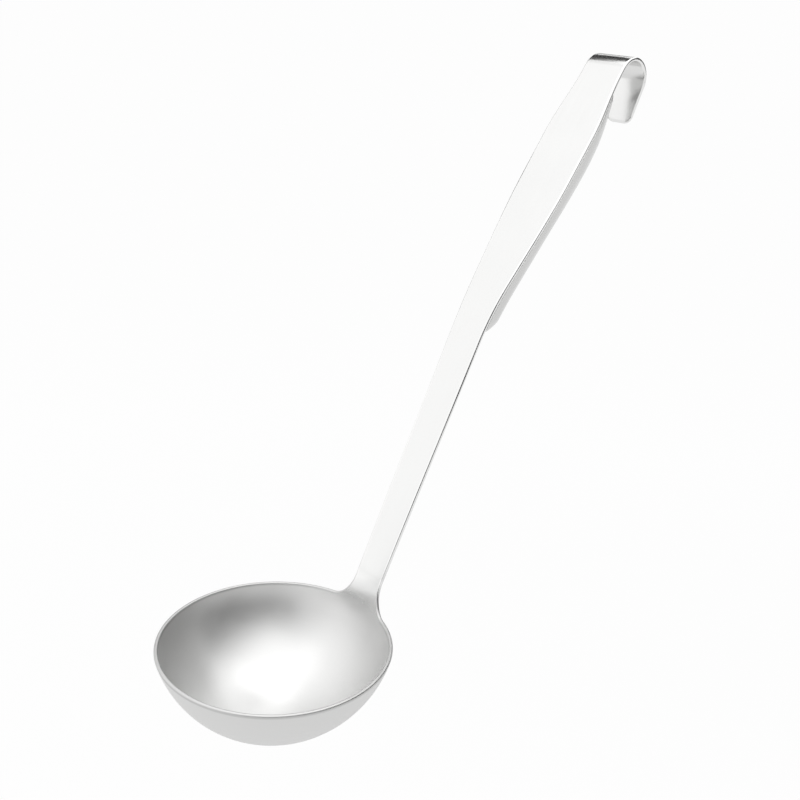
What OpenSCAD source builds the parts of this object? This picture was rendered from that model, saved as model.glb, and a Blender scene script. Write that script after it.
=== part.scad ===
// Soup ladle in sheet steel: a dished round bowl, a strip handle that turns over into
// a hanging hook, and a hollow back shell that fills out the grip.
// X points from the bowl to the handle, Y is the width of the strip, Z is up with the
// bowl's rim level. The origin is the centre of the hook's bend.

/* [Bowl] */
// Outer diameter of the bowl at its rim
bowl_d = 92; // [76:1:110]
// Depth of the bowl from the rim to its underside
bowl_depth = 36; // [30:1:40]
// Thickness of the bowl's sheet
bowl_sheet = 1.6; // [1.4:0.1:2.2]

/* [Neck] */
// Radius of the curve that turns the bowl's wall into the stem
neck_bend_r = 70; // [50:1:80]
// Height above the rim where the neck ends and the weld begins
neck_rise = 13; // [12:0.5:20]
// How far the neck spreads on each side where it leaves the rim
neck_spread = 7.5; // [4:0.5:9]
// Height of the hollow curve on each side of the neck
neck_fillet = 11; // [8:0.5:12]
// Length of strip that the ground weld takes up
weld_length = 1.4; // [0.8:0.1:3]

/* [Handle strip] */
// Thickness of the strip
strip_sheet = 1.6; // [1.4:0.1:2.2]
// Slope of the stem above the level of the rim, in degrees
stem_slope = 64; // [58:1:70]
// Slope of the grip above the level of the rim, in degrees
grip_slope = 54; // [50:1:57]
// Length of the straight stem above the weld
stem_length = 101; // [80:1:130]
// Radius of the easy bend between stem and grip
sweep_r = 160; // [120:5:220]
// Length of the straight grip up to the hook
grip_length = 102.5; // [95:0.5:130]
// Width of the stem at the neck
stem_w = 14.4; // [12:0.2:17]
// Width of the stem where the grip begins
stem_top_w = 16.6; // [14:0.2:18]
// Width of the grip at its broadest
grip_w = 25; // [22:0.5:30]

/* [Hook] */
// Inner radius of the hook's bend
hook_r = 7.75; // [6:0.25:10]
// Angle that the strip turns through at the hook, in degrees
hook_turn = 150; // [130:1:165]
// Width of the strip in the hook's bend
hook_w = 20; // [16:0.5:22]
// Length of the tongue after the bend
tongue_length = 18; // [14:0.5:20]
// Width of the tongue at its blunt end
tongue_end_w = 13.5; // [11:0.5:16]
// Radius of the corners of that end
tongue_r = 4; // [2.5:0.25:5]

/* [Back shell] */
// Depth of the back shell behind the strip at its deepest, near the hook
shell_depth = 11.5; // [8:0.25:13]
// Depth of the back shell behind the strip towards its lower end
shell_foot_depth = 9; // [6:0.25:10]
// Thickness of the back shell's sheet
shell_sheet = 1; // [0.8:0.1:1.2]
// Step from the strip's edge in to the back shell
shell_inset = 0.4; // [0.2:0.1:1]
// Distance from the start of the easy bend up to the shell's lower point
shell_start = 4; // [3:0.5:12]
// Distance from the shell's upper point up to the hook's bend
shell_gap = 8; // [7:0.5:20]
// Height of the weld bead around the back shell
seam_w = 0.6; // [0.4:0.1:1]

/* [Hidden] */

$fn = 96;
// Chamfer on the long edges of the strip
edge_break = 0.35;
// How far a swept end is set inside the solid that it joins, and how deep it goes in
plug_inset = 0.12;
plug_depth = 0.6;
// Length of the grip that is drawn with the hook, and the step from it down to the strip
hook_lead = 3;
hook_step = 0.03;
// How far the hook's straight faces lie inside its round ones, and where they start
skim = 0.003;
skim_start = 0.1;
// Length of the tongue before it tapers
tongue_foot = 1;
// Shares of the grip's length over which it widens, and over which it narrows to the hook
grip_spread = 0.75;
grip_taper = 0.32;
// Points across each face of the strip
face_points = 9;
// Points around the back shell's section, and the power that squares its corners
shell_points = 24;
shell_power = 2.6;
// Lengths over which the shell swells to its full width from its lower and its upper point,
// and the power that rounds its outline there
foot_spread = 4;
head_spread = 5;
spread_power = 0.5;
// Lengths over which it swells to its full depth there, and the powers of that rise
foot_swell = 10.5;
head_swell = 40;
foot_power = 1.3;
head_power = 0.6;
// The shell deepens from this far above the start of the grip to this far below its upper point
deepen_after = 20;
deepen_before = 25;
// Step along the path over which the shell's outline is measured for its direction
slope_step = 0.02;

// The bowl is a cap of a sphere, whose centre stands above the rim; the rim's round bead is
// widest half a sheet below its top
bowl_r = bowl_d / 2;
bead_z = -bowl_sheet / 2;
cap_depth = bowl_depth + bead_z;
ball_r = (bowl_r * bowl_r + cap_depth * cap_depth) / (2 * cap_depth);
ball_z = ball_r - bowl_depth;
ball_in_r = ball_r - bowl_sheet;
mouth_r = sqrt(ball_in_r * ball_in_r - ball_z * ball_z);
wall_slope = 90 - asin(ball_z / ball_in_r);

// The path runs along the strip's front face, and each stretch starts where the last ends
neck_turn = wall_slope - stem_slope;
neck_arc = neck_bend_r * neck_turn * PI / 180;
weld_start = max(neck_arc, neck_rise);
strip_start = weld_start + weld_length;
sweep_start = strip_start + stem_length;
sweep_turn = stem_slope - grip_slope;
sweep_arc = sweep_r * sweep_turn * PI / 180;
grip_start = sweep_start + sweep_arc;
hook_start = grip_start + grip_length;
hook_out_r = hook_r + strip_sheet;

// Point at distance d along an arc that turns clockwise from slope a with radius r
function arc_step(r, a, d) =
    let (b = a - d / r * 180 / PI) r * [sin(a) - sin(b), cos(b) - cos(a)];

neck_end = [mouth_r, 0] + arc_step(neck_bend_r, wall_slope, neck_arc);
sweep_foot = neck_end + (sweep_start - neck_arc) * [cos(stem_slope), sin(stem_slope)];
grip_foot = sweep_foot + arc_step(sweep_r, stem_slope, sweep_arc);
hook_foot = grip_foot + grip_length * [cos(grip_slope), sin(grip_slope)];
hook_centre = hook_foot + hook_out_r * [sin(grip_slope), -cos(grip_slope)];

// Slope of the strip's path at u
function path_slope(u) =
    u < neck_arc ? wall_slope - u / neck_bend_r * 180 / PI :
    u < sweep_start ? stem_slope :
    u < grip_start ? stem_slope - (u - sweep_start) / sweep_r * 180 / PI :
    grip_slope;

// Place of the strip's path at u, as X and Z
function path_at(u) =
    u < neck_arc ? [mouth_r, 0] + arc_step(neck_bend_r, wall_slope, u) :
    u < sweep_start ? neck_end + (u - neck_arc) * [cos(stem_slope), sin(stem_slope)] :
    u < grip_start ? sweep_foot + arc_step(sweep_r, stem_slope, u - sweep_start) :
    grip_foot + (u - grip_start) * [cos(grip_slope), sin(grip_slope)];

// Point in space at u along the path, y across it and b behind its front face
function on_strip(u, y, b) =
    let (p = path_at(u), a = path_slope(u)) [p.x + b * sin(a), y, p.y - b * cos(a)];

// Step that rises smoothly from 0 to 1 between a and b
function ease(u, a, b) =
    let (t = min(1, max(0, (u - a) / (b - a)))) t * t * (3 - 2 * t);

// Half the width of the strip at u
function half_width(u) =
    let (
        stem = stem_w + (stem_top_w - stem_w) * min(1, max(0, (u - neck_rise) / (sweep_start - neck_rise))),
        grip = (grip_w - stem) * ease(u, sweep_start, sweep_start + grip_spread * grip_length),
        hook = (hook_w - grip_w) * ease(u, hook_start - grip_taper * grip_length, hook_start - hook_lead),
        h = min(1, max(0, u / neck_fillet)),
        flare = neck_spread * (1 - sqrt(1 - pow(1 - h, 2)))
    )
    (stem + grip + hook) / 2 + flare;

// How deep the strip is troughed at y: it starts on the bowl's own curve and goes flat
function trough(u, y) =
    let (fade = 1 - ease(u, 0, sweep_start)) fade * (mouth_r - sqrt(mouth_r * mouth_r - y * y));

// Closed section of the strip at u, drawn in by inset on every side
function strip_section(u, inset, sheet) =
    let (
        w = half_width(u) - inset,
        n = face_points - 1,
        flat = w - edge_break,
        front = inset,
        back = sheet - inset,
        lip = trough(u, w)
    )
    concat(
        [on_strip(u, -w, front + edge_break - lip)],
        [for (i = [0:n]) let (y = flat * (2 * i / n - 1)) on_strip(u, y, front - trough(u, y))],
        [on_strip(u, w, front + edge_break - lip), on_strip(u, w, back - edge_break - lip)],
        [for (i = [n:-1:0]) let (y = flat * (2 * i / n - 1)) on_strip(u, y, back - trough(u, y))],
        [on_strip(u, -w, back - edge_break - lip)]
    );

// End face over n points from index k, laid as a ladder between the section's two sides
function cap(n, k, flip) = [
    for (i = [0:floor((n - 1) / 2) - 1], f = [0, 1])
        if (f == 0 || i + 1 < n - 2 - i)
            let (t = f == 0 ? [i, i + 1, n - 1 - i] : [i + 1, n - 2 - i, n - 1 - i])
                [k, k, k] + (flip ? [t.z, t.y, t.x] : t)
];

// Solid through a list of sections that all have the same number of points
module loft(sections) {
    n = len(sections[0]);
    m = len(sections);
    sides = [
        for (s = [0:m - 2], i = [0:n - 1])
            let (a = s * n + i, b = s * n + (i + 1) % n)
                [a, b, b + n, a + n]
    ];
    faces = concat(cap(n, 0, true), sides, cap(n, (m - 1) * n, false));
    polyhedron(points = [for (s = sections, p = s) p], faces = faces, convexity = 6);
}

// Stations from a to b, about step apart
function stations(a, b, step) = let (n = max(1, ceil((b - a) / step))) [for (i = [0:n]) a + (b - a) * i / n];

// Everything is drawn around the bowl and moved so that the hook's bend is the origin
module place() {
    translate([-hook_centre.x, 0, -hook_centre.y]) children();
}

// Half section of the bowl's wall, with a full round on the rim
module bowl_profile() {
    wall_r = ball_r - bowl_sheet / 2;
    bead_x = sqrt(wall_r * wall_r - pow(ball_z - bead_z, 2));
    translate([bead_x, bead_z]) circle(d = bowl_sheet);
    difference() {
        translate([0, ball_z]) circle(r = ball_r);
        translate([0, ball_z]) circle(r = ball_in_r);
        translate([-2 * ball_r, bead_z]) square([4 * ball_r, 3 * ball_r]);
        translate([-2 * ball_r, -2 * ball_r]) square([2 * ball_r, 4 * ball_r]);
    }
}

module neck() {
    sections = concat(
        [for (u = [-2 * plug_depth, -plug_depth]) strip_section(u, plug_inset, bowl_sheet)],
        [for (u = stations(0, weld_start, 1)) strip_section(u, 0, bowl_sheet)]
    );
    loft(sections);
}

module bowl() {
    color("silver") place() {
        rotate_extrude($fn = 180) bowl_profile();
        neck();
    }
}

module neck_weld() {
    color("gainsboro") place()
        loft([for (u = [weld_start, strip_start]) strip_section(u, 0, strip_sheet)]);
}

// Outline of the tongue: straight tapering sides that run out into the round corners of its
// end. They start tongue_foot after the bend, and are drawn on backwards past it, clear of
// the strip
module tongue_outline() {
    reach = tongue_length - tongue_foot - tongue_r;
    side = tongue_end_w / 2 - tongue_r;
    drop = hook_w / 2 - side;
    lean = asin(tongue_r / sqrt(reach * reach + drop * drop)) - atan2(drop, reach);
    touch = [reach, side] + tongue_r * [-sin(lean), cos(lean)];
    wide = hook_w / 2 + 2 * tongue_foot * (hook_w / 2 - touch.y) / touch.x;
    translate([tongue_foot, 0]) {
        for (s = [1, -1]) translate([reach, s * side]) circle(r = tongue_r);
        polygon([
            [-2 * tongue_foot, -wide], [-2 * tongue_foot, wide], touch, [reach + tongue_r, side],
            [reach + tongue_r, -side], [touch.x, -touch.y]
        ]);
    }
}

// Point at angle a and radius r around the hook's bend, moved by d along the strip there
function around(a, r, d) = r * [cos(a), sin(a)] + d * [-sin(a), cos(a)];

// Side view of the hook: the end of the grip, the bend and the tongue, as one bent strip. The
// straight lines start inside the two circles and leave them by crossing
module hook_profile() {
    first = grip_slope + 90;
    last = first - hook_turn;
    outer = hook_out_r - skim;
    inner = hook_r - skim;
    middle = hook_r / 2;
    far = tongue_length + tongue_foot;
    difference() {
        union() {
            circle(r = hook_out_r);
            polygon([[0, 0], around(first, outer, -skim_start), around(first, outer, hook_lead),
                around(first, middle, hook_lead)]);
            polygon([[0, 0], around(last, outer, skim_start), around(last, outer, -far),
                around(last, middle, -far)]);
        }
        circle(r = hook_r);
        polygon([[0, 0], around(first, inner, -skim_start), around(first, inner, 2 * far),
            around(last, inner, -2 * far), around(last, inner, skim_start)]);
    }
}

module hook() {
    translate([hook_centre.x, 0, hook_centre.y]) difference() {
        rotate([90, 0, 0]) linear_extrude(hook_w, center = true) hook_profile();
        rotate([0, hook_turn - grip_slope - 90, 0]) translate([hook_r - strip_sheet, 0, 0])
            rotate([0, 90, 0]) linear_extrude(3 * strip_sheet) difference() {
                translate([0, -hook_w]) square([2 * tongue_length, 2 * hook_w]);
                tongue_outline();
            }
    }
}

module handle_strip() {
    body_end = hook_start - hook_lead;
    color("whitesmoke") place() {
        loft(concat(
            [for (u = stations(strip_start, sweep_start, 8)) strip_section(u, 0, strip_sheet)],
            [for (u = stations(sweep_start + 3, grip_start - 3, 4)) strip_section(u, 0, strip_sheet)],
            [for (u = stations(grip_start, body_end - plug_depth, 5)) strip_section(u, 0, strip_sheet)],
            [for (u = [body_end - plug_depth / 2, body_end + plug_depth])
                strip_section(u, hook_step, strip_sheet)]
        ));
        hook();
    }
}

// Ends of the back shell along the path
shell_a = sweep_start + shell_start;
shell_b = hook_start - shell_gap;

// How full the shell stands at u: it swells from its lower point and from its upper one
function foot_share(u, inset, length) = sin(90 * min(1, max(0, (u - shell_a - inset) / length)));
function head_share(u, inset, length) = sin(90 * min(1, max(0, (shell_b - inset - u) / length)));

// Half the width of the shell at u, and how far it stands behind the strip there
function shell_half_width(u, inset) =
    (half_width(u) - shell_inset - inset)
    * pow(foot_share(u, inset, foot_spread) * head_share(u, inset, head_spread), spread_power);
function shell_rise(u, inset) =
    let (
        deeper = ease(u, grip_start + deepen_after, shell_b - deepen_before),
        depth = shell_foot_depth + (shell_depth - shell_foot_depth) * deeper - inset
    )
    depth * pow(foot_share(u, inset, foot_swell), foot_power)
        * pow(head_share(u, inset, head_swell), head_power);

// Section of the shell's solid at u, drawn in by inset; the hollow starts inset in front of
// the shell, so that it cuts through the open side
function shell_section(u, inset) =
    let (
        w = shell_half_width(u, inset),
        d = shell_rise(u, inset),
        n = shell_points,
        e = 2 / shell_power,
        arch = [for (i = [0:n]) let (a = 180 * i / n, c = cos(a))
            on_strip(u, w * sign(c) * pow(abs(c), e), strip_sheet + d * pow(max(0, sin(a)), e))]
    )
    inset == 0 ? arch :
    concat([on_strip(u, w, strip_sheet - inset)], arch, [on_strip(u, -w, strip_sheet - inset)]);

// Stations of the shell, closer together towards its two ends
function shell_stations(inset) =
    let (a = shell_a + inset, b = shell_b - inset, n = 30)
        [for (i = [0:n]) let (t = 0.5 - 0.5 * cos(180 * (0.5 + i) / (n + 1))) a + (b - a) * t];

module handle_back_shell() {
    color("lightgray") place() difference() {
        loft([for (u = shell_stations(0)) shell_section(u, 0)]);
        loft([for (u = shell_stations(shell_sheet)) shell_section(u, shell_sheet)]);
    }
}

// Foot of the weld bead's outer edge at u, square to the shell's outline, as U and Y
function bead_foot(u) =
    let (
        rise = shell_half_width(u + slope_step, 0) - shell_half_width(u - slope_step, 0),
        turn = atan2(rise, 2 * slope_step)
    )
    [u - shell_inset * sin(turn), shell_half_width(u, 0) + shell_inset * cos(turn)];

function bead_top(u) = min(seam_w, shell_rise(u, 0) / 2);

// Section of the weld bead at u, on the side of the shell that s gives as 1 or -1
function bead_section(u, s) =
    let (
        w = shell_half_width(u, 0),
        foot = bead_foot(u),
        wall = w * pow(1 - pow(bead_top(u) / shell_rise(u, 0), shell_power), 1 / shell_power)
    )
    [
        on_strip(u, s * w, strip_sheet),
        on_strip(foot.x, s * foot.y, strip_sheet),
        on_strip(u, s * wall, strip_sheet + bead_top(u))
    ];

// Section of the weld bead across the end of the shell at u, d being 1 above and -1 below
function bead_end(u, d) = [
    on_strip(u, 0, strip_sheet),
    on_strip(u + d * shell_inset, 0, strip_sheet),
    on_strip(u, 0, strip_sheet + bead_top(u))
];

module shell_seam_weld() {
    run = shell_stations(0);
    last = len(run) - 1;
    sections = concat(
        [bead_end(run[0], -1)],
        [for (u = run) bead_section(u, 1)],
        [bead_end(run[last], 1)],
        [for (i = [last:-1:0]) bead_section(run[i], -1)]
    );
    m = len(sections);
    faces = [
        for (s = [0:m - 1], i = [0:2])
            let (a = s * 3 + i, b = s * 3 + (i + 1) % 3, c = (s + 1) % m * 3)
                [a, b, c + (i + 1) % 3, c + i]
    ];
    color("white") place()
        polyhedron(points = [for (s = sections, p = s) p], faces = faces, convexity = 6);
}

bowl();
neck_weld();
handle_strip();
handle_back_shell();
shell_seam_weld();
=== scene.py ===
import math
import bmesh
import bpy
from mathutils import Matrix, Vector


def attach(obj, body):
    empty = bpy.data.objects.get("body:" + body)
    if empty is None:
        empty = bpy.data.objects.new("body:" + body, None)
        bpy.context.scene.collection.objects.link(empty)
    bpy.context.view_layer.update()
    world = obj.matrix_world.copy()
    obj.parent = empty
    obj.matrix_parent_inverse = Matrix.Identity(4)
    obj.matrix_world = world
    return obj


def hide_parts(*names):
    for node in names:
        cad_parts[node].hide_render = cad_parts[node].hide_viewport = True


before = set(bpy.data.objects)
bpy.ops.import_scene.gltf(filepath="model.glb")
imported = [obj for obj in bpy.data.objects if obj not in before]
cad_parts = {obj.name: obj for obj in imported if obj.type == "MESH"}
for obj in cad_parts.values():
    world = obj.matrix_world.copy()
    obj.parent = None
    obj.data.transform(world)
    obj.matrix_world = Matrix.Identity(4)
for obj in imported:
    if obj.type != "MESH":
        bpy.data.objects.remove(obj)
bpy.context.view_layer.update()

print("frame loaded")

# Sizes are in metres and repeat the CAD's. Slopes and turns are in degrees. The bowl, neck, handle and
# hook come first, because the path that carries them is worked out from all four
bowlSizes = {
    "rimRadius": 0.046,
    "depth": 0.036,
    "sheet": 0.0016,
    "stepsAround": 168,
    "stepsUp": 40,
}
neckSizes = {
    "bendRadius": 0.070,
    "rise": 0.013,
    "spread": 0.0075,
    "filletHeight": 0.011,
    "weldLength": 0.0014,
    "halfColumns": 9,      # rim steps on each side of the middle that grow into the neck
    "filletRows": 10,
    "firstRow": -0.0004,   # where the first row crosses the middle, from the rim
    "rowStep": 0.0015,
    "rowBend": 4,          # power by which a row bends from its middle towards its ends
    "edgeBand": 0.0009,    # even band of sheet along the neck's and handle's edges
    "settle": 0.005,       # height over which the rim's curve turns square to the strip
}
handleSizes = {
    "stemSlope": 64,
    "gripSlope": 54,
    "stemLength": 0.101,
    "sweepRadius": 0.160,
    "gripLength": 0.1025,
    "stemWidth": 0.0144,
    "stemTopWidth": 0.0166,
    "gripWidth": 0.025,
    "gripSpread": 0.75,    # share of the grip over which it widens
    "gripTaper": 0.32,     # share of the grip over which it narrows to the hook
    "edgeRound": 0.00065,
    "edgeSteps": 4,
    "stemStep": 0.005,     # lengths of the rows of faces
    "sweepStep": 0.003,
    "gripStep": 0.004,
}
hookSizes = {
    "radius": 0.00775,
    "turn": 150,
    "width": 0.020,
    "lead": 0.003,         # straight stretch of full hook width before the bend
    "leadStep": 0.0015,
    "bendRows": 30,
}

bowlR = bowlSizes["rimRadius"]
bowlSheet = bowlSizes["sheet"]
capDepth = bowlSizes["depth"] - bowlSheet / 2
ballR = (bowlR ** 2 + capDepth ** 2) / (2 * capDepth)
ballZ = ballR - bowlSizes["depth"]
ballInR = ballR - bowlSheet
mouthR = math.sqrt(ballInR ** 2 - ballZ ** 2)
rimAngle = math.acos(ballZ / ballInR)      # from the bowl's lowest point up to its rim
stemSlope = math.radians(handleSizes["stemSlope"])
gripSlope = math.radians(handleSizes["gripSlope"])
hookTurn = math.radians(hookSizes["turn"])
neckArc = neckSizes["bendRadius"] * (rimAngle - stemSlope)
weldStart = max(neckArc, neckSizes["rise"])
stripStart = weldStart + neckSizes["weldLength"]
sweepStart = stripStart + handleSizes["stemLength"]
gripStart = sweepStart + handleSizes["sweepRadius"] * (stemSlope - gripSlope)
hookStart = gripStart + handleSizes["gripLength"]
hookOutR = hookSizes["radius"] + bowlSheet
tongueStart = hookStart + hookOutR * hookTurn


def along(slope, distance):
    return Vector((math.cos(slope), 0, math.sin(slope))) * distance


def arcStep(radius, slope, distance):
    end = slope - distance / radius
    return Vector((math.sin(slope) - math.sin(end), 0, math.cos(end) - math.cos(slope))) * radius


neckEnd = Vector((mouthR, 0, 0)) + arcStep(neckSizes["bendRadius"], rimAngle, neckArc)
sweepFoot = neckEnd + along(stemSlope, sweepStart - neckArc)
gripFoot = sweepFoot + arcStep(handleSizes["sweepRadius"], stemSlope, gripStart - sweepStart)
hookFoot = gripFoot + along(gripSlope, handleSizes["gripLength"])
hookCentre = hookFoot + Vector((math.sin(gripSlope), 0, -math.cos(gripSlope))) * hookOutR
tongueSlope = gripSlope - hookTurn
tongueFoot = hookFoot + arcStep(hookOutR, gripSlope, tongueStart - hookStart)
bowlPlace = -hookCentre                     # the hook's bend is the origin, the bowl hangs away from it


def ease(x, start, end):
    t = min(1, max(0, (x - start) / (end - start)))
    return t * t * (3 - 2 * t)


def pathAt(u):
    # place and slope of the strip's front face at distance u above the bowl's rim
    if u < neckArc:
        bend = neckSizes["bendRadius"]
        return Vector((mouthR, 0, 0)) + arcStep(bend, rimAngle, u), rimAngle - u / bend
    if u < sweepStart:
        return neckEnd + along(stemSlope, u - neckArc), stemSlope
    if u < gripStart:
        bend, past = handleSizes["sweepRadius"], u - sweepStart
        return sweepFoot + arcStep(bend, stemSlope, past), stemSlope - past / bend
    if u < hookStart:
        return gripFoot + along(gripSlope, u - gripStart), gripSlope
    if u < tongueStart:
        past = u - hookStart
        return hookFoot + arcStep(hookOutR, gripSlope, past), gripSlope - past / hookOutR
    return tongueFoot + along(tongueSlope, u - tongueStart), tongueSlope


def halfWidth(u):
    stem, stemTop = handleSizes["stemWidth"], handleSizes["stemTopWidth"]
    grip, gripWidth = handleSizes["gripLength"], handleSizes["gripWidth"]
    up = min(1, max(0, (u - neckSizes["rise"]) / (sweepStart - neckSizes["rise"])))
    width = stem + (stemTop - stem) * up
    width += (gripWidth - width) * ease(u, sweepStart, sweepStart + handleSizes["gripSpread"] * grip)
    hookPull = ease(u, hookStart - handleSizes["gripTaper"] * grip, hookStart - hookSizes["lead"])
    width += (hookSizes["width"] - gripWidth) * hookPull
    rise = min(1, max(0, u / neckSizes["filletHeight"]))
    flare = neckSizes["spread"] * (1 - math.sqrt(1 - (1 - rise) ** 2))
    return width / 2 + flare


def sheetPoint(u, y):
    # point on the sheet's front face: on the bowl below the rim, above it on the strip, which
    # leaves the rim on the bowl's own curve and goes flat
    if u < 0:
        fall = rimAngle + u / ballInR
        ring = ballInR * math.sin(fall)
        return bowlPlace + Vector((math.sqrt(ring ** 2 - y ** 2), y, ballZ - ballInR * math.cos(fall)))
    point, slope = pathAt(u)
    lift = (1 - ease(u, 0, sweepStart)) * (mouthR - math.sqrt(mouthR ** 2 - y ** 2))
    lean = math.radians(90) + (slope - math.radians(90)) * ease(u, 0, neckSizes["settle"])
    return point + Vector((-math.sin(lean) * lift, y, math.cos(lean) * lift)) + bowlPlace


def evenly(start, end, count):
    return [start + (end - start) * i / count for i in range(1, count + 1)]


def stations(start, end, step):
    return evenly(start, end, max(1, math.ceil((end - start) / step)))


def selectNone():
    bpy.ops.object.select_all(action="DESELECT")


def only(piece):
    selectNone()
    piece.select_set(True)
    bpy.context.view_layer.objects.active = piece


def placeSelected(points):
    # puts the selected vertices, taken in order of Y, on the given points
    mesh = bmesh.from_edit_mesh(bpy.context.object.data)
    chosen = sorted((v for v in mesh.verts if v.select), key=lambda v: v.co.y)
    for vertex, point in zip(chosen, points):
        vertex.co = point
    bmesh.update_edit_mesh(bpy.context.object.data)


def extrudeRow(points):
    bpy.ops.mesh.extrude_region_move()
    placeSelected(points)


def roundEdges(piece, width, steps, angle=40):
    bevel = piece.modifiers.new("edgeRound", "BEVEL")
    bevel.width = width
    bevel.segments = steps
    bevel.limit_method = "ANGLE"
    bevel.angle_limit = math.radians(angle)
    bevel.use_clamp_overlap = False
    only(piece)
    bpy.ops.object.modifier_apply(modifier=bevel.name)


def smooth(piece, angle=35):
    only(piece)
    bpy.ops.object.shade_smooth_by_angle(angle=math.radians(angle))


def startFromPoint(name):
    # a plane merged to one vertex at the origin, left in edit mode to be moved, extruded and spun
    selectNone()
    bpy.ops.mesh.primitive_plane_add(size=0.01, location=(0, 0, 0))
    bpy.context.object.name = name
    bpy.ops.object.mode_set(mode="EDIT")
    bpy.ops.mesh.select_all(action="SELECT")
    bpy.ops.mesh.merge(type="CENTER")
    return bpy.context.object


# The bowl: an arc spun from its lowest point to the rim, then spun once around
mergeReach = 0.00001       # vertices this close are merged in the bowl
fineReach = 0.000001       # the same at the cuts and in the shell
rimReach = 0.0001          # vertices this close to the rim's level are on the rim
sheet = startFromPoint("ladleSheet")
ballCentre = bowlPlace + Vector((0, 0, ballZ))
bpy.ops.transform.translate(value=ballCentre - Vector((0, 0, ballInR)))
bpy.ops.mesh.spin(steps=bowlSizes["stepsUp"], angle=-rimAngle, center=ballCentre, axis=(0, 1, 0))
bpy.ops.mesh.select_all(action="SELECT")
bpy.ops.mesh.spin(steps=bowlSizes["stepsAround"], angle=math.radians(360), center=ballCentre,
                  axis=(0, 0, 1))
bpy.ops.mesh.select_all(action="SELECT")
bpy.ops.mesh.remove_doubles(threshold=mergeReach)
bpy.ops.mesh.normals_make_consistent(inside=False)
print("bowl spun")

# The neck grows out of the bowl's wall where a gap is left in the rim's uppermost band. Its rows
# run from one edge of the neck to the other, with a narrow band of even width along each edge
columnTurn = math.radians(360) / bowlSizes["stepsAround"]
halfColumns = neckSizes["halfColumns"]
neckShare = math.sin(halfColumns * columnTurn)
columns = [math.sin(k * columnTurn) / neckShare for k in range(-halfColumns, halfColumns + 1)]
neckReach = mouthR * neckShare
band = neckSizes["edgeBand"]


def rowAcross(edgeU, edgeY, inward, middleU):
    # points of one row; inward is the step from the edge to the band's inner line, as U and Y
    innerU, innerY = edgeU + inward[0], edgeY + inward[1]
    rise, bend = innerU - middleU, neckSizes["rowBend"]
    inner = [sheetPoint(middleU + rise * s ** bend, s * innerY) for s in columns]
    return [sheetPoint(edgeU, -edgeY)] + inner + [sheetPoint(edgeU, edgeY)]


mesh = bmesh.from_edit_mesh(sheet.data)
bpy.ops.mesh.select_mode(type="FACE")
bpy.ops.mesh.select_all(action="DESELECT")
rimStep = ballInR * rimAngle / bowlSizes["stepsUp"]
for face in mesh.faces:
    middle = face.calc_center_median()
    face.select = middle.z > bowlPlace.z - rimStep and middle.x > bowlPlace.x and abs(middle.y) < neckReach
bmesh.update_edit_mesh(sheet.data)
bpy.ops.mesh.region_to_loop()
mesh = bmesh.from_edit_mesh(sheet.data)
outline = [e for e in mesh.edges if e.select]
rimEdges = [e for e in outline if min(v.co.z for v in e.verts) > bowlPlace.z - rimReach]
gapEdges = [e for e in outline if e not in rimEdges]
rimFaces = [f for f in mesh.faces if any(e in rimEdges for e in f.edges)]
bmesh.ops.delete(mesh, geom=rimFaces, context="FACES")
gapEdges = [e for e in gapEdges if e.is_valid]
bpy.ops.mesh.select_mode(type="EDGE")
bpy.ops.mesh.select_all(action="DESELECT")
for edge in gapEdges:
    edge.select = True
bmesh.update_edit_mesh(sheet.data)
print("neck starts from", len(gapEdges), "edges")

for row in range(1, neckSizes["filletRows"] + 1):
    turn = math.radians(90) * row / neckSizes["filletRows"]
    edgeU = neckSizes["filletHeight"] * (1 - math.cos(turn))
    inward = Vector((neckSizes["spread"] * math.cos(turn), neckSizes["filletHeight"] * math.sin(turn)))
    share = (row - 1) / (neckSizes["filletRows"] - 1)
    middleU = neckSizes["firstRow"] + (neckSizes["filletHeight"] - neckSizes["firstRow"]) * share
    extrudeRow(rowAcross(edgeU, halfWidth(edgeU), -band * inward.normalized(), middleU))

straightRows = (
    stations(neckSizes["filletHeight"], weldStart, neckSizes["rowStep"])
    + [stripStart]
    + stations(stripStart, sweepStart, handleSizes["stemStep"])
    + stations(sweepStart, gripStart, handleSizes["sweepStep"])
    + stations(gripStart, hookStart - hookSizes["lead"], handleSizes["gripStep"])
    + stations(hookStart - hookSizes["lead"], hookStart, hookSizes["leadStep"])
    + evenly(hookStart, tongueStart, hookSizes["bendRows"])
)
for u in straightRows:
    extrudeRow(rowAcross(u, halfWidth(u), (0, -band), u))

# The tongue tapers along straight sides that run out into the round corners of its blunt end
tongueSizes = {
    "length": 0.018,
    "foot": 0.001,         # length of full hook width before the sides taper
    "endWidth": 0.0135,
    "corner": 0.004,
    "rows": (0.001, 0.0035, 0.006, 0.0085, 0.011),
    "tipRows": (0.3, 0.55, 0.72, 1),
    "endTurn": 0.9,        # how far round the corner, in radians, the last row's ends lie
}
cornerR = tongueSizes["corner"]
tongueFootLength = tongueSizes["foot"]
cornerT = tongueSizes["length"] - cornerR
cornerY = tongueSizes["endWidth"] / 2 - cornerR
tongueHalf = hookSizes["width"] / 2
cornerReach, cornerDrop = cornerT - tongueFootLength, tongueHalf - cornerY
lean = math.asin(cornerR / math.hypot(cornerReach, cornerDrop)) - math.atan2(cornerDrop, cornerReach)
touchT = cornerT - cornerR * math.sin(lean)
touchY = cornerY + cornerR * math.cos(lean)
cornerBend = cornerR * (math.pi / 2 + lean)


def tongueHalfWidth(t):
    return tongueHalf + (touchY - tongueHalf) * max(0, t - tongueFootLength) / (touchT - tongueFootLength)


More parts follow.
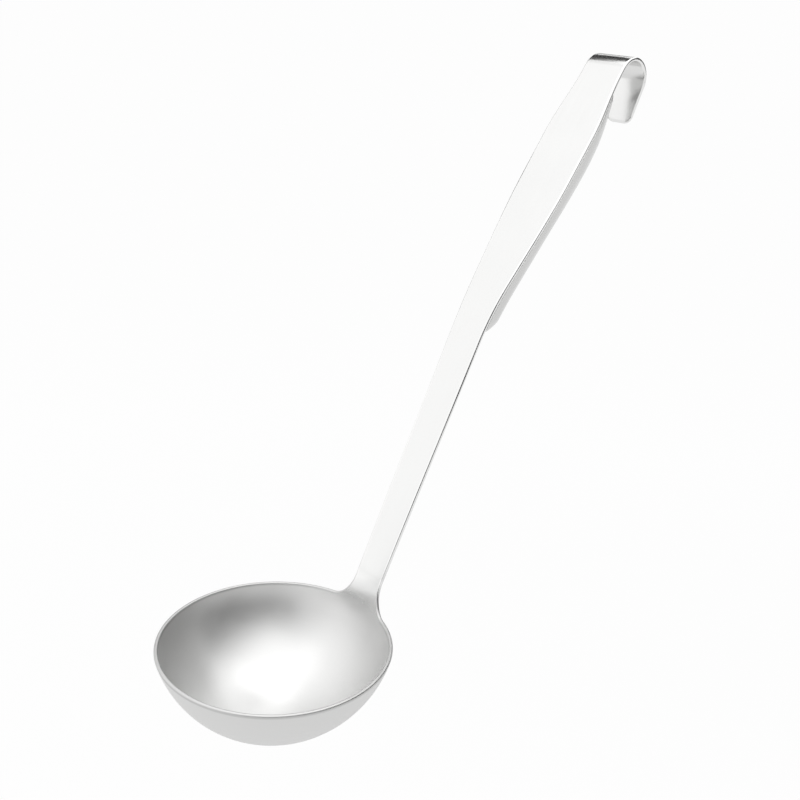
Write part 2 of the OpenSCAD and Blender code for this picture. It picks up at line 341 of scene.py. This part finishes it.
def tongueOutline(way):
    # place on the outline at distance way from the middle of the blunt end, with its sign in Y
    far = abs(way)
    if far <= cornerY:
        return Vector((tongueSizes["length"], way))
    if far <= cornerY + cornerBend:
        angle = (far - cornerY) / cornerR
        across = cornerY + cornerR * math.sin(angle)
        return Vector((cornerT + cornerR * math.cos(angle), math.copysign(across, way)))
    t = touchT - (far - cornerY - cornerBend) * math.cos(lean)
    return Vector((t, math.copysign(tongueHalfWidth(t), way)))


for t in tongueSizes["rows"]:
    extrudeRow(rowAcross(tongueStart + t, tongueHalfWidth(t), (0, -band), tongueStart + t))
lastT = tongueSizes["rows"][-1]
lastHalf = tongueHalfWidth(lastT)
sideWay = cornerY + cornerBend + (touchT - lastT) / math.cos(lean)
endWay = cornerY + cornerR * tongueSizes["endTurn"]
tipColumns = [-1] + [s * (1 - band / lastHalf) for s in columns] + [1]


def towardsEnd(s, share):
    return Vector((lastT, s * lastHalf)).lerp(tongueOutline(s * endWay), share)


for share in tongueSizes["tipRows"]:
    row = []
    for s in tipColumns:
        # the row bends from straight across to the end's outline, and its ends stay on the outline
        side = math.copysign(1, s)
        onSide = tongueOutline(side * (sideWay + (endWay - sideWay) * share))
        spot = towardsEnd(s, share) + (onSide - towardsEnd(side, share)) * s * s
        row.append(sheetPoint(tongueStart + spot.x, spot.y))
    extrudeRow(row)
bpy.ops.mesh.select_all(action="SELECT")
bpy.ops.mesh.normals_make_consistent(inside=False)
bpy.ops.object.mode_set(mode="OBJECT")
print("handle and hook drawn,", len(sheet.data.vertices), "points")

wall = sheet.modifiers.new("sheet", "SOLIDIFY")
wall.thickness = bowlSheet
wall.offset = 1
wall.use_even_offset = True
only(sheet)
bpy.ops.object.modifier_apply(modifier=wall.name)
roundEdges(sheet, handleSizes["edgeRound"], handleSizes["edgeSteps"])
print("sheet given its thickness")


def cutPiece(name, lower, upper):
    # a copy of the sheet between two places on the path, closed where it is cut
    only(sheet)
    bpy.ops.object.duplicate()
    piece = bpy.context.object
    piece.name = name
    piece.data.name = name
    bpy.ops.object.mode_set(mode="EDIT")
    for u, clearAbove in ((lower, False), (upper, True)):
        if u is None:
            continue
        point, slope = pathAt(u)
        bpy.ops.mesh.select_all(action="SELECT")
        bpy.ops.mesh.bisect(plane_co=point + bowlPlace, plane_no=along(slope, 1), use_fill=True,
                            clear_outer=clearAbove, clear_inner=not clearAbove, threshold=fineReach)
    bpy.ops.object.mode_set(mode="OBJECT")
    smooth(piece)
    return piece


bowlPiece = cutPiece("bowlAndNeck", None, weldStart)
weldPiece = cutPiece("neckWeld", weldStart, stripStart)
stripPiece = cutPiece("handleStrip", stripStart, None)
bpy.data.objects.remove(sheet)
print("sheet parted at the neck weld")

# The back shell: two arched walls, one inside the other, joined around their foot
shellSizes = {
    "sheet": 0.001,
    "inset": 0.0004,         # from the strip's edge to the shell's foot
    "footDepth": 0.009,
    "headDepth": 0.0115,
    "start": 0.004,          # from the stem's end, and from the hook's start
    "gap": 0.008,
    "footSpread": 0.004,     # lengths over which the shell swells to its full width
    "headSpread": 0.005,
    "spreadPower": 0.5,
    "footSwell": 0.0105,     # lengths over which it swells to its full depth
    "headSwell": 0.040,
    "footPower": 1.3,
    "headPower": 0.6,
    "deepenAfter": 0.020,    # stretches at the foot and head whose depth doesn't change
    "deepenBefore": 0.025,
    "cornerPower": 2.6,      # 2 is an ellipse across, more is squarer
    "rows": 44,
    "arcPoints": 32,
}
shellStart = sweepStart + shellSizes["start"]
shellEnd = hookStart - shellSizes["gap"]


def footShare(u, inset, length):
    return math.sin(math.radians(90) * min(1, max(0, (u - shellStart - inset) / length)))


def headShare(u, inset, length):
    return math.sin(math.radians(90) * min(1, max(0, (shellEnd - inset - u) / length)))


def shellHalfWidth(u, inset):
    swell = footShare(u, inset, shellSizes["footSpread"]) * headShare(u, inset, shellSizes["headSpread"])
    return (halfWidth(u) - shellSizes["inset"] - inset) * swell ** shellSizes["spreadPower"]


def shellRise(u, inset):
    deeper = ease(u, gripStart + shellSizes["deepenAfter"], shellEnd - shellSizes["deepenBefore"])
    depth = shellSizes["footDepth"] + (shellSizes["headDepth"] - shellSizes["footDepth"]) * deeper - inset
    foot = footShare(u, inset, shellSizes["footSwell"]) ** shellSizes["footPower"]
    return depth * foot * headShare(u, inset, shellSizes["headSwell"]) ** shellSizes["headPower"]


def shellPoint(u, inset, turn):
    point, slope = pathAt(u)
    power = 2 / shellSizes["cornerPower"]
    across = math.copysign(abs(math.cos(turn)) ** power, math.cos(turn)) * shellHalfWidth(u, inset)
    behind = bowlSheet + shellRise(u, inset) * max(0, math.sin(turn)) ** power
    return point + Vector((math.sin(slope) * behind, across, -math.cos(slope) * behind)) + bowlPlace


def shellStations(inset):
    start, end, rows = shellStart + inset, shellEnd - inset, shellSizes["rows"]
    return [start + (end - start) * (0.5 - 0.5 * math.cos(math.pi * i / rows)) for i in range(1, rows)]


def shellRow(u, inset):
    count = shellSizes["arcPoints"]
    return [shellPoint(u, inset, math.pi * (1 - i / count)) for i in range(count + 1)]


def selectRow(points, reach):
    mesh = bmesh.from_edit_mesh(bpy.context.object.data)
    bpy.ops.mesh.select_all(action="DESELECT")
    for vertex in mesh.verts:
        vertex.select = any((vertex.co - p).length < reach for p in points)
    mesh.select_flush(True)
    for edge in mesh.edges:
        edge.select = all(v.select for v in edge.verts)
    bmesh.update_edit_mesh(bpy.context.object.data)


def closeToTip(u):
    # the selected row is extruded and gathered in one point on the strip's back
    point, slope = pathAt(u)
    tip = point + Vector((math.sin(slope), 0, -math.cos(slope))) * bowlSheet + bowlPlace
    extrudeRow([tip] * (shellSizes["arcPoints"] + 1))


def drawShellWall(inset):
    # half of a circle's vertices become the first row, which is extruded row by row to both tips
    selectNone()
    circleR, tiny = 0.01, 0.0000001
    bpy.ops.mesh.primitive_circle_add(vertices=2 * shellSizes["arcPoints"], radius=circleR)
    piece = bpy.context.object
    bpy.ops.object.mode_set(mode="EDIT")
    mesh = bmesh.from_edit_mesh(piece.data)
    bpy.ops.mesh.select_all(action="DESELECT")
    for vertex in mesh.verts:
        vertex.select = vertex.co.x < -tiny and abs(vertex.co.y) < circleR - tiny
    mesh.select_flush(True)
    bmesh.update_edit_mesh(piece.data)
    bpy.ops.mesh.delete(type="VERT")
    bpy.ops.mesh.select_all(action="SELECT")
    rows = [shellRow(u, inset) for u in shellStations(inset)]
    placeSelected(rows[0])
    for row in rows[1:]:
        extrudeRow(row)
    closeToTip(shellEnd - inset)
    selectRow(rows[0], fineReach / 2)
    closeToTip(shellStart + inset)
    bpy.ops.mesh.select_all(action="SELECT")
    bpy.ops.mesh.remove_doubles(threshold=fineReach)
    bpy.ops.object.mode_set(mode="OBJECT")
    return piece


shellInner = drawShellWall(shellSizes["sheet"])
shellPiece = drawShellWall(0)
shellPiece.name = "handleBackShell"
shellPiece.data.name = "handleBackShell"


def selectOpenEdges():
    bpy.ops.mesh.select_mode(type="EDGE")
    bpy.ops.mesh.select_all(action="DESELECT")
    bpy.ops.mesh.select_non_manifold(use_wire=False, use_boundary=True, use_multi_face=False,
                                     use_non_contiguous=False, use_verts=False)


# The outer wall's foot line, copied before the walls are joined, carries the weld bead
seamSizes = {"radius": 0.00035, "sides": 3}
only(shellPiece)
bpy.ops.object.duplicate()
seamPiece = bpy.context.object
seamPiece.name = "shellSeamWeld"
seamPiece.data.name = "shellSeamWeld"
bpy.ops.object.mode_set(mode="EDIT")
selectOpenEdges()
bpy.ops.mesh.select_all(action="INVERT")
bpy.ops.mesh.delete(type="EDGE_FACE")
bpy.ops.mesh.select_mode(type="VERT")
bpy.ops.mesh.select_all(action="SELECT")
bpy.ops.mesh.delete_loose(use_verts=True, use_edges=False, use_faces=False)
bpy.ops.object.mode_set(mode="OBJECT")
only(seamPiece)
bpy.ops.object.convert(target="CURVE")
seamPiece.data.bevel_depth = seamSizes["radius"]
seamPiece.data.bevel_resolution = seamSizes["sides"]
bpy.ops.object.convert(target="MESH")
smooth(seamPiece)
print("seam bead:", len(seamPiece.data.vertices), "points")

selectNone()
shellInner.select_set(True)
shellPiece.select_set(True)
bpy.context.view_layer.objects.active = shellPiece
bpy.ops.object.join()
bpy.ops.object.mode_set(mode="EDIT")
selectOpenEdges()
bpy.ops.mesh.bridge_edge_loops()
bpy.ops.mesh.select_mode(type="VERT")
bpy.ops.mesh.select_all(action="SELECT")
bpy.ops.mesh.normals_make_consistent(inside=False)
bpy.ops.object.mode_set(mode="OBJECT")
smooth(shellPiece)
print("back shell:", len(shellPiece.data.vertices), "points")


# Materials. Two effects are shared: a brushed grain and the steel of the edges
def newGroup(name, inputs, outputs):
    tree = bpy.data.node_groups.new(name, "ShaderNodeTree")
    for label, kind, value in inputs:
        socket = tree.interface.new_socket(name=label, in_out="INPUT", socket_type=kind)
        if value is not None:
            socket.default_value = value
    for label, kind in outputs:
        tree.interface.new_socket(name=label, in_out="OUTPUT", socket_type=kind)
    return tree, tree.nodes.new("NodeGroupInput"), tree.nodes.new("NodeGroupOutput")


def addNode(tree, kind, settings=None, **inputs):
    # inputs are named as the sockets are, with spaces left out, or s0, s1, s2 by their order
    node = tree.nodes.new(kind)
    for key, value in (settings or {}).items():
        setattr(node, key, value)
    for key, value in inputs.items():
        if key[0] == "s" and key[1:].isdigit():
            socket = node.inputs[int(key[1:])]
        else:
            socket = next(s for s in node.inputs if s.name.replace(" ", "") == key)
        if isinstance(value, bpy.types.NodeSocket):
            tree.links.new(value, socket)
        else:
            socket.default_value = value
    return node


def math2(tree, operation, first, second):
    return addNode(tree, "ShaderNodeMath", {"operation": operation}, s0=first, s1=second).outputs[0]


def scaled(tree, vector, scale):
    node = addNode(tree, "ShaderNodeVectorMath", {"operation": "SCALE"}, s0=vector, Scale=scale)
    return node.outputs[0]


def between(tree, share, first, second):
    # first at share 0 and second at share 1, for two colours
    mix = addNode(tree, "ShaderNodeMix", {"data_type": "RGBA"}, s0=share, s6=first, s7=second)
    return mix.outputs[2]


# Grain: fine scratches along the pattern's first axis, with broader, softer changes of polish
grainMix = {
    "coarseScale": 0.23,
    "fine": 0.65,          # shares of the two kinds of scratches
    "coarse": 0.35,
    "clouds": 0.8,         # how much the broad changes of polish count beside the scratches
    "depth": 0.00002,      # of the scratches, in metres
}
grainGroup, groupIn, groupOut = newGroup(
    "brushedGrain",
    [("Grain Place", "NodeSocketVector", None), ("Polish Place", "NodeSocketVector", None),
     ("Steel", "NodeSocketColor", (0.7, 0.7, 0.7, 1)), ("Shade Spread", "NodeSocketFloat", 0.05),
     ("Base Roughness", "NodeSocketFloat", 0.3), ("Roughness Spread", "NodeSocketFloat", 0.1)],
    [("Steel", "NodeSocketColor"), ("Roughness", "NodeSocketFloat"), ("Scratches", "NodeSocketFloat")])
grain = groupIn.outputs["Grain Place"]
fine = addNode(grainGroup, "ShaderNodeTexNoise", Scale=1, Detail=4, Roughness=0.6, Vector=grain)
coarse = addNode(grainGroup, "ShaderNodeTexNoise", Scale=1, Detail=2, Roughness=0.5,
                 Vector=scaled(grainGroup, grain, grainMix["coarseScale"]))
polish = addNode(grainGroup, "ShaderNodeTexNoise", Scale=1, Detail=3, Roughness=0.55,
                 Vector=groupIn.outputs["Polish Place"])
scratches = math2(grainGroup, "ADD", math2(grainGroup, "MULTIPLY", fine.outputs["Fac"], grainMix["fine"]),
                  math2(grainGroup, "MULTIPLY", coarse.outputs["Fac"], grainMix["coarse"]))
centred = math2(grainGroup, "SUBTRACT", scratches, 0.5)
clouds = math2(grainGroup, "SUBTRACT", polish.outputs["Fac"], 0.5)
uneven = math2(grainGroup, "ADD", centred, math2(grainGroup, "MULTIPLY", clouds, grainMix["clouds"]))
rough = math2(grainGroup, "ADD", groupIn.outputs["Base Roughness"],
              math2(grainGroup, "MULTIPLY", uneven, groupIn.outputs["Roughness Spread"]))
shade = math2(grainGroup, "ADD", 1, math2(grainGroup, "MULTIPLY", uneven, groupIn.outputs["Shade Spread"]))
grainGroup.links.new(scaled(grainGroup, groupIn.outputs["Steel"], shade), groupOut.inputs["Steel"])
grainGroup.links.new(rough, groupOut.inputs["Roughness"])
grainGroup.links.new(scratches, groupOut.inputs["Scratches"])

# Edge steel: where the piece's edge attribute is high, the edge's own colour and roughness show: on the
# handle the finish of worn, polished edges, on the bowl's rim a darker steel that is painted shade
edgeGroup, groupIn, groupOut = newGroup(
    "edgePolishAndShade",
    [("Steel", "NodeSocketColor", (0.7, 0.7, 0.7, 1)), ("Roughness", "NodeSocketFloat", 0.3),
     ("Edge Steel", "NodeSocketColor", (0.8, 0.8, 0.8, 1)), ("Edge Roughness", "NodeSocketFloat", 0.2),
     ("Amount", "NodeSocketFloat", 1.0)],
    [("Steel", "NodeSocketColor"), ("Roughness", "NodeSocketFloat")])
edgeMark = addNode(edgeGroup, "ShaderNodeAttribute", {"attribute_name": "edgeWearAndShade"})
amount = math2(edgeGroup, "MULTIPLY", edgeMark.outputs["Fac"], groupIn.outputs["Amount"])
edgeShade = between(edgeGroup, amount, groupIn.outputs["Steel"], groupIn.outputs["Edge Steel"])
edgeRough = addNode(edgeGroup, "ShaderNodeMix", {"data_type": "FLOAT"}, s0=amount,
                    s2=groupIn.outputs["Roughness"], s3=groupIn.outputs["Edge Roughness"])
edgeGroup.links.new(edgeShade, groupOut.inputs["Steel"])
edgeGroup.links.new(edgeRough.outputs[0], groupOut.inputs["Roughness"])


def grainAlongHandle(tree, across, lengthwise):
    # scratches run along the handle wherever it bends, because they only change quickly in Y
    place = addNode(tree, "ShaderNodeTexCoord").outputs["Object"]
    scale = (lengthwise, across, lengthwise)
    return addNode(tree, "ShaderNodeMapping", Vector=place, Scale=scale).outputs[0]


def grainAroundBowl(tree, across, lengthwise):
    # scratches run around the bowl: they change quickly with the distance from its lowest point
    place = addNode(tree, "ShaderNodeTexCoord").outputs["Object"]
    lowest = bowlPlace - Vector((0, 0, bowlSizes["depth"]))
    fromBowl = addNode(tree, "ShaderNodeMapping", Vector=place, Location=-lowest).outputs[0]
    parts = addNode(tree, "ShaderNodeSeparateXYZ", Vector=fromBowl)
    flat = addNode(tree, "ShaderNodeCombineXYZ", X=parts.outputs[0], Y=parts.outputs[1], Z=0.0).outputs[0]
    radius = addNode(tree, "ShaderNodeVectorMath", {"operation": "LENGTH"}, s0=flat).outputs["Value"]
    heading = addNode(tree, "ShaderNodeVectorMath", {"operation": "NORMALIZE"}, s0=flat).outputs[0]
    bearing = addNode(tree, "ShaderNodeSeparateXYZ", Vector=heading)
    climb = math2(tree, "MULTIPLY", math2(tree, "ADD", radius, parts.outputs[2]), across)
    ways = [math2(tree, "MULTIPLY", bearing.outputs[i], lengthwise) for i in (0, 1)]
    return addNode(tree, "ShaderNodeCombineXYZ", X=climb, Y=ways[0], Z=ways[1]).outputs[0]


# Where the bowl's satin runs out into the handle's finish and into the neck's painted light, in metres
# from the bowl's middle and rim
neckFade = {
    "near": (0.026, 0.044),
    "up": (-0.010, 0.009),
    "weld": (0.003, 0.012),
}


def fade(tree, value, start, stretch, first=0.0, last=1.0):
    return addNode(tree, "ShaderNodeMapRange", Value=value, FromMin=start + stretch[0],
                   FromMax=start + stretch[1], ToMin=first, ToMax=last).outputs[0]


def neckShares(tree, place):
    # how far a place is up the neck, and how far it is down from the weld
    parts = addNode(tree, "ShaderNodeSeparateXYZ", Vector=place)
    near = fade(tree, parts.outputs[0], bowlPlace.x, neckFade["near"])
    high = fade(tree, parts.outputs[2], bowlPlace.z, neckFade["up"])
    low = fade(tree, parts.outputs[2], bowlPlace.z, neckFade["weld"], 1.0, 0.0)
    return math2(tree, "MULTIPLY", near, high), low


def blend(tree, share, first, second):
    return math2(tree, "ADD", first, math2(tree, "MULTIPLY", share, second - first))


def steelMaterial(name, finish, grainPlace):
    material = bpy.data.materials.new(name)
    material.use_nodes = True
    tree = material.node_tree
    shader = tree.nodes["Principled BSDF"]
    shader.inputs["Metallic"].default_value = 1
    place = addNode(tree, "ShaderNodeTexCoord").outputs["Object"]
    clouds = addNode(tree, "ShaderNodeMapping", Vector=place, Scale=(finish["cloudScale"],) * 3)
    steel, edgeSteel = finish["steel"], finish["edgeSteel"]
    roughness, edgeRoughness = finish["roughness"], finish["edgeRoughness"]
    if "neckSteel" in finish:
        # the bowl's satin runs out into the handle's finer polish over the neck, and the neck's steel is
        # made lighter there than bowl or handle, which is painted light
        up, down = neckShares(tree, place)
        aboveRim = math2(tree, "SUBTRACT", 1, down)
        steel = between(tree, math2(tree, "MULTIPLY", up, down), steel, finish["neckSteel"])
        roughness = blend(tree, up, roughness, finish["neckRoughness"])
        edgeSteel = between(tree, aboveRim, edgeSteel, finish["neckEdgeSteel"])
        edgeRoughness = blend(tree, aboveRim, edgeRoughness, finish["neckEdgeRoughness"])
    grain = addNode(tree, "ShaderNodeGroup", {"node_tree": grainGroup},
                    GrainPlace=grainPlace(tree, finish["across"], finish["lengthwise"]),
                    PolishPlace=clouds.outputs[0], Steel=steel, ShadeSpread=finish["shadeSpread"],
                    BaseRoughness=roughness, RoughnessSpread=finish["roughnessSpread"])
    edges = addNode(tree, "ShaderNodeGroup", {"node_tree": edgeGroup}, Steel=grain.outputs["Steel"],
                    Roughness=grain.outputs["Roughness"], EdgeSteel=edgeSteel,
                    EdgeRoughness=edgeRoughness, Amount=finish["edgeAmount"])
    bump = addNode(tree, "ShaderNodeBump", Strength=finish["bump"], Distance=grainMix["depth"],
                   Height=grain.outputs["Scratches"])
    tree.links.new(edges.outputs["Steel"], shader.inputs["Base Color"])
    tree.links.new(edges.outputs["Roughness"], shader.inputs["Roughness"])
    tree.links.new(bump.outputs["Normal"], shader.inputs["Normal"])
    return material


def onCut(point, reach=0.00005):
    # whether a point lies where the sheet was parted at the neck weld, which is ground flush
    for u in (weldStart, stripStart):
        middle, slope = pathAt(u)
        if abs((point - middle - bowlPlace).dot(along(slope, 1))) < reach:
            return True
    return False


def markEdges(piece, turn=6):
    # 1 on vertices whose faces turn away from each other, where worn edges give the handle's steel another
    # finish and the bowl's rim gets painted shade
    mesh = bmesh.new()
    mesh.from_mesh(piece.data)
    mesh.normal_update()
    sharp = set()
    for edge in mesh.edges:
        if len(edge.link_faces) == 2 and edge.calc_face_angle() > math.radians(turn):
            sharp.update(v.index for v in edge.verts if not onCut(v.co))
    mesh.free()
    edgeMarkLayer = piece.data.attributes.new("edgeWearAndShade", "FLOAT", "POINT")
    for index in sharp:
        edgeMarkLayer.data[index].value = 1


def steelShade(brightness, warmth=0.005):
    return (brightness, brightness, brightness - warmth, 1)


bowlFinish = {
    "steel": steelShade(0.71), "roughness": 0.40, "roughnessSpread": 0.10, "shadeSpread": 0.06,
    # the bowl's darker edge steel is painted shade, which tones down the rim's bright reflection
    "edgeSteel": steelShade(0.56), "edgeRoughness": 0.42, "edgeAmount": 1.0,
    # the neck's lighter steel is painted light, brighter than both bowl and strip
    "neckSteel": steelShade(0.93), "neckRoughness": 0.20,
    "neckEdgeSteel": steelShade(0.79), "neckEdgeRoughness": 0.16,
    "bump": 0.25, "across": 2600, "lengthwise": 14, "cloudScale": 70,
}
weldFinish = {
    "steel": steelShade(0.715), "roughness": 0.195, "roughnessSpread": 0.07, "shadeSpread": 0.05,
    "edgeSteel": steelShade(0.79), "edgeRoughness": 0.16, "edgeAmount": 0.8,
    "bump": 0.15, "across": 2600, "lengthwise": 60, "cloudScale": 160,
}
stripFinish = {
    "steel": steelShade(0.72), "roughness": 0.19, "roughnessSpread": 0.05, "shadeSpread": 0.05,
    "edgeSteel": steelShade(0.80), "edgeRoughness": 0.15, "edgeAmount": 0.8,
    "bump": 0.12, "across": 2600, "lengthwise": 45, "cloudScale": 60,
}
shellFinish = {
    "steel": steelShade(0.625), "roughness": 0.22, "roughnessSpread": 0.08, "shadeSpread": 0.06,
    "edgeSteel": steelShade(0.68), "edgeRoughness": 0.20, "edgeAmount": 0.5,
    "bump": 0.15, "across": 2200, "lengthwise": 45, "cloudScale": 70,
}
seamFinish = {
    "steel": steelShade(0.74, 0.01), "roughness": 0.42, "roughnessSpread": 0.10, "shadeSpread": 0.08,
    "edgeSteel": steelShade(0.74, 0.01), "edgeRoughness": 0.24, "edgeAmount": 0.0,
    "bump": 0.3, "across": 1500, "lengthwise": 900, "cloudScale": 200,
}
for piece, node, slot, finish, grainPlace in (
    (bowlPiece, "bowl", "bowl_steel", bowlFinish, grainAroundBowl),
    (weldPiece, "neck_weld", "weld_steel", weldFinish, grainAlongHandle),
    (stripPiece, "handle_strip", "strip_steel", stripFinish, grainAlongHandle),
    (shellPiece, "handle_back_shell", "shell_steel", shellFinish, grainAlongHandle),
    (seamPiece, "shell_seam_weld", "seam_steel", seamFinish, grainAlongHandle),
):
    markEdges(piece)
    piece.data.materials.clear()
    piece.data.materials.append(steelMaterial(slot, finish, grainPlace))
    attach(piece, "root")
    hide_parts(node)
print("steel finishes set")

# The stage: a pale floor well below the ladle, a pale room, soft boxes that light it, and flags, which are
# dark cards that only show in the steel. The camera sees neither boxes nor flags. Most stand well away,
# and three flags stand close to the bowl, the grip and the hook
stageSizes = {
    "aim": (-0.12, 0, -0.12),
    "floorHeight": -0.9,
    "floorWidth": 160,
    "floorShade": 0.95,
    "floorRoughness": 0.9,
    "floorGlow": 0.93,         # share of the floor's white that lamps don't change
    "roomLight": 0.8,
    "flagSteps": 24,
}
softBoxes = {
    "topBox": {"azimuth": 200, "elevation": 82, "distance": 1.5, "size": (2.0, 2.0), "glow": 0.6},
    "frontBox": {"azimuth": 20, "elevation": 54, "distance": 1.5, "size": (1.7, 1.3), "glow": 0.65},
    "leftBox": {"azimuth": 135, "elevation": 30, "distance": 1.6, "size": (2.6, 1.7), "glow": 0.3},
}
flags = {
    "farFlag": {"azimuths": (310, 372), "elevations": (2, 33)},
    "lowFlag": {"azimuths": (372, 436), "elevations": (2, 18)},
    "gapFlag": {"azimuths": (262, 310), "elevations": (3, 15)},
    "edgeFlag": {"azimuths": (225, 262), "elevations": (10, 31)},
    "bowlFlag": {"azimuths": (205, 318), "elevations": (17, 37), "distance": 0.2, "aim": bowlPlace},
    "leftFlag": {"azimuths": (76, 100), "elevations": (3, 16), "shade": 0.35},
    "gripFlag": {"azimuths": (76, 105), "elevations": (2, 34), "distance": 0.06,
                 "aim": (-0.040, 0.0125, -0.040)},
    "hookFlag": {"azimuths": (40, 92), "elevations": (30, 56), "distance": 0.2, "aim": (0, 0, 0)},
}


def cameraOrGlossy(tree):
    path = addNode(tree, "ShaderNodeLightPath")
    either = math2(tree, "MAXIMUM", path.outputs["Is Camera Ray"], path.outputs["Is Glossy Ray"])
    return math2(tree, "MAXIMUM", either, path.outputs["Is Transmission Ray"])


def mattPaint(name, shade, roughness):
    paint = bpy.data.materials.new(name)
    paint.use_nodes = True
    shader = paint.node_tree.nodes["Principled BSDF"]
    shader.inputs["Base Color"].default_value = (shade, shade, shade, 1)
    shader.inputs["Roughness"].default_value = roughness
    shader.inputs["Specular IOR Level"].default_value = 0
    return paint


selectNone()
bpy.ops.mesh.primitive_plane_add(size=stageSizes["floorWidth"], location=(0, 0, stageSizes["floorHeight"]))
floor = bpy.context.object
floor.name = "floor"
floorPaint = mattPaint("floorPaint", stageSizes["floorShade"], stageSizes["floorRoughness"])
tree = floorPaint.node_tree
matt = tree.nodes["Principled BSDF"]
glow = addNode(tree, "ShaderNodeEmission", Color=(1, 1, 1, 1), Strength=1.0)
share = math2(tree, "MULTIPLY", cameraOrGlossy(tree), stageSizes["floorGlow"])
mixed = addNode(tree, "ShaderNodeMixShader", s0=share, s1=matt.outputs[0], s2=glow.outputs[0])
tree.links.new(mixed.outputs[0], tree.nodes["Material Output"].inputs["Surface"])
floor.data.materials.append(floorPaint)

world = bpy.data.worlds.new("paleRoom")
bpy.context.scene.world = world
world.use_nodes = True
tree = world.node_tree
roomLight = tree.nodes["Background"]
roomLight.inputs["Color"].default_value = (1, 1, 1, 1)
roomLight.inputs["Strength"].default_value = stageSizes["roomLight"]
roomWhite = addNode(tree, "ShaderNodeBackground", Color=(1, 1, 1, 1), Strength=1.0)
mixed = addNode(tree, "ShaderNodeMixShader", s0=cameraOrGlossy(tree), s1=roomLight.outputs[0],
                s2=roomWhite.outputs[0])
tree.links.new(mixed.outputs[0], tree.nodes["World Output"].inputs["Surface"])


def fromAim(azimuth, elevation, distance, aim=stageSizes["aim"]):
    turned, raised = math.radians(azimuth), math.radians(elevation)
    level = Vector((math.cos(turned), math.sin(turned), 0)) * math.cos(raised)
    return Vector(aim) + (level + Vector((0, 0, math.sin(raised)))) * distance


def addSoftBox(name, azimuth, elevation, distance, size, glow):
    lamp = bpy.data.lights.new(name, "AREA")
    lamp.shape = "RECTANGLE"
    lamp.size, lamp.size_y = size
    lamp.energy = glow * math.pi * size[0] * size[1]      # glow 1 shows as white in a mirror
    box = bpy.data.objects.new(name, lamp)
    bpy.context.scene.collection.objects.link(box)
    place = fromAim(azimuth, elevation, distance)
    facing = (Vector(stageSizes["aim"]) - place).to_track_quat("-Z", "Y").to_matrix().to_4x4()
    box.matrix_world = Matrix.Translation(place) @ facing
    box.visible_camera = False


def addFlag(name, azimuths, elevations, distance=1.7, shade=0.03, aim=stageSizes["aim"]):
    # a card bent around the ladle, or around one part of it: one upright edge spun about it
    card = startFromPoint(name)
    low, high = (fromAim(azimuths[0], elevation, distance, aim) for elevation in elevations)
    bpy.ops.transform.translate(value=low)
    bpy.ops.mesh.select_all(action="SELECT")
    bpy.ops.mesh.extrude_region_move(TRANSFORM_OT_translate={"value": high - low})
    bpy.ops.mesh.select_all(action="SELECT")
    bpy.ops.mesh.spin(steps=stageSizes["flagSteps"], angle=math.radians(azimuths[0] - azimuths[1]),
                      center=aim, axis=(0, 0, 1))
    bpy.ops.object.mode_set(mode="OBJECT")
    card.data.materials.append(mattPaint(name, shade, 1))
    card.visible_camera = False
    card.visible_shadow = False


for name, sizes in softBoxes.items():
    addSoftBox(name, **sizes)
for name, sizes in flags.items():
    addFlag(name, **sizes)
print("stage set")

# Camera, as fitted to the photo. Its right, down and forward are the picture's
cameraSizes = {
    "place": (-0.40263, -0.29501, 0.04178),
    "right": (0.72974, -0.68186, 0.05047),
    "down": (-0.21519, -0.29911, -0.92964),
    "forward": (0.64898, 0.66753, -0.36500),
    "sensor": 36,              # sensor and lens in millimetres
    "lens": 50.4,
    "clipStart": 0.01,
}
cameraData = bpy.data.cameras.new("photoCamera")
camera = bpy.data.objects.new("photoCamera", cameraData)
bpy.context.scene.collection.objects.link(camera)
cameraData.sensor_width = cameraSizes["sensor"]
cameraData.lens = cameraSizes["lens"]
cameraData.clip_start = cameraSizes["clipStart"]
right, down, forward = (Vector(cameraSizes[way]) for way in ("right", "down", "forward"))
facing = Matrix((right, -down, -forward)).transposed().to_4x4()
camera.matrix_world = Matrix.Translation(cameraSizes["place"]) @ facing
bpy.context.scene.camera = camera
bpy.context.scene.view_settings.view_transform = "Standard"
